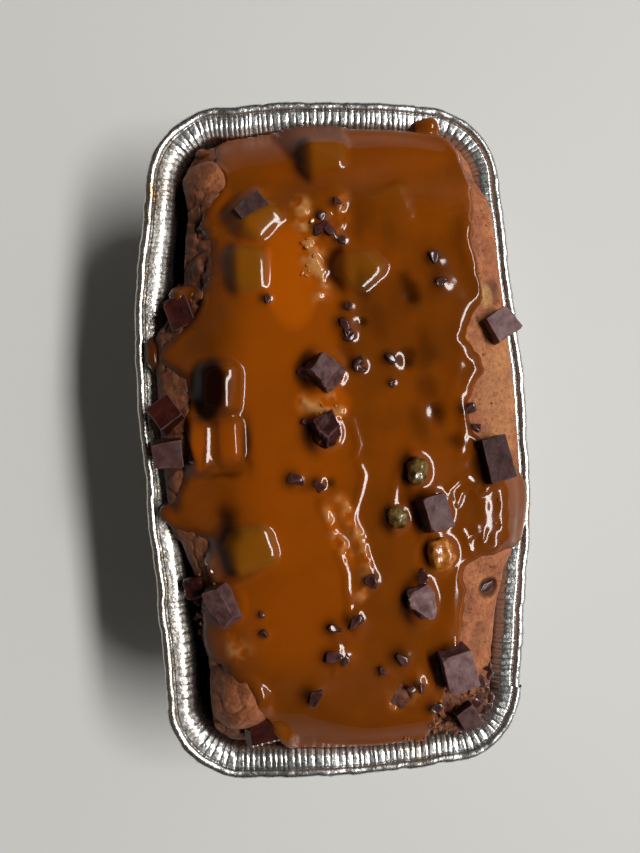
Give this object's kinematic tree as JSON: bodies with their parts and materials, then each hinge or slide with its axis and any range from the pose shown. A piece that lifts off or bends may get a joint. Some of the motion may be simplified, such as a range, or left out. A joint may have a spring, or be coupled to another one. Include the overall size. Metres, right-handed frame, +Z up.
{
  "type": "banana bread",
  "caption": "Banana bread loaf baked in a creased foil loaf tin, under poured glossy caramel sauce with chocolate chunks and walnut pieces.",
  "frame": {"origin": "middle of the tin's base, on the surface it stands on", "axes": "+Z up, +Y along the loaf, +X across it"},
  "size_m": [0.1252, 0.2158, 0.0827],
  "materials": {
    "foil": "bright rolled foil, creased and fluted",
    "bread": "baked crust with fine open crumb, matt with a slight sheen",
    "caramel": "wet, glossy and translucent",
    "chocolate": "satin with a pale bloom",
    "walnut": "satin, wetted by caramel"
  },
  "bodies": {
    "root": {"foil_tin": "foil", "loaf": "bread", "caramel": "caramel", "chocolate_chunk_01": "chocolate", "chocolate_chunk_02": "chocolate", "chocolate_chunk_03": "chocolate", "chocolate_chunk_04": "chocolate", "chocolate_chunk_05": "chocolate", "chocolate_chunk_06": "chocolate", "chocolate_chunk_07": "chocolate", "chocolate_chunk_08": "chocolate", "chocolate_chunk_09": "chocolate", "chocolate_chunk_10": "chocolate", "chocolate_chunk_11": "chocolate", "chocolate_chunk_12": "chocolate", "chocolate_chunk_13": "chocolate", "chocolate_chunk_14": "chocolate", "chocolate_chunk_15": "chocolate", "chocolate_chunk_16": "chocolate", "chocolate_chunk_17": "chocolate", "chocolate_chunk_18": "chocolate", "chocolate_chunk_19": "chocolate", "chocolate_chunk_20": "chocolate", "chocolate_chunk_21": "chocolate", "chocolate_chunk_22": "chocolate", "chocolate_drop_01": "chocolate", "walnut_piece_01": "walnut", "walnut_piece_02": "walnut", "walnut_piece_03": "walnut"}
  },
  "joints": []
}
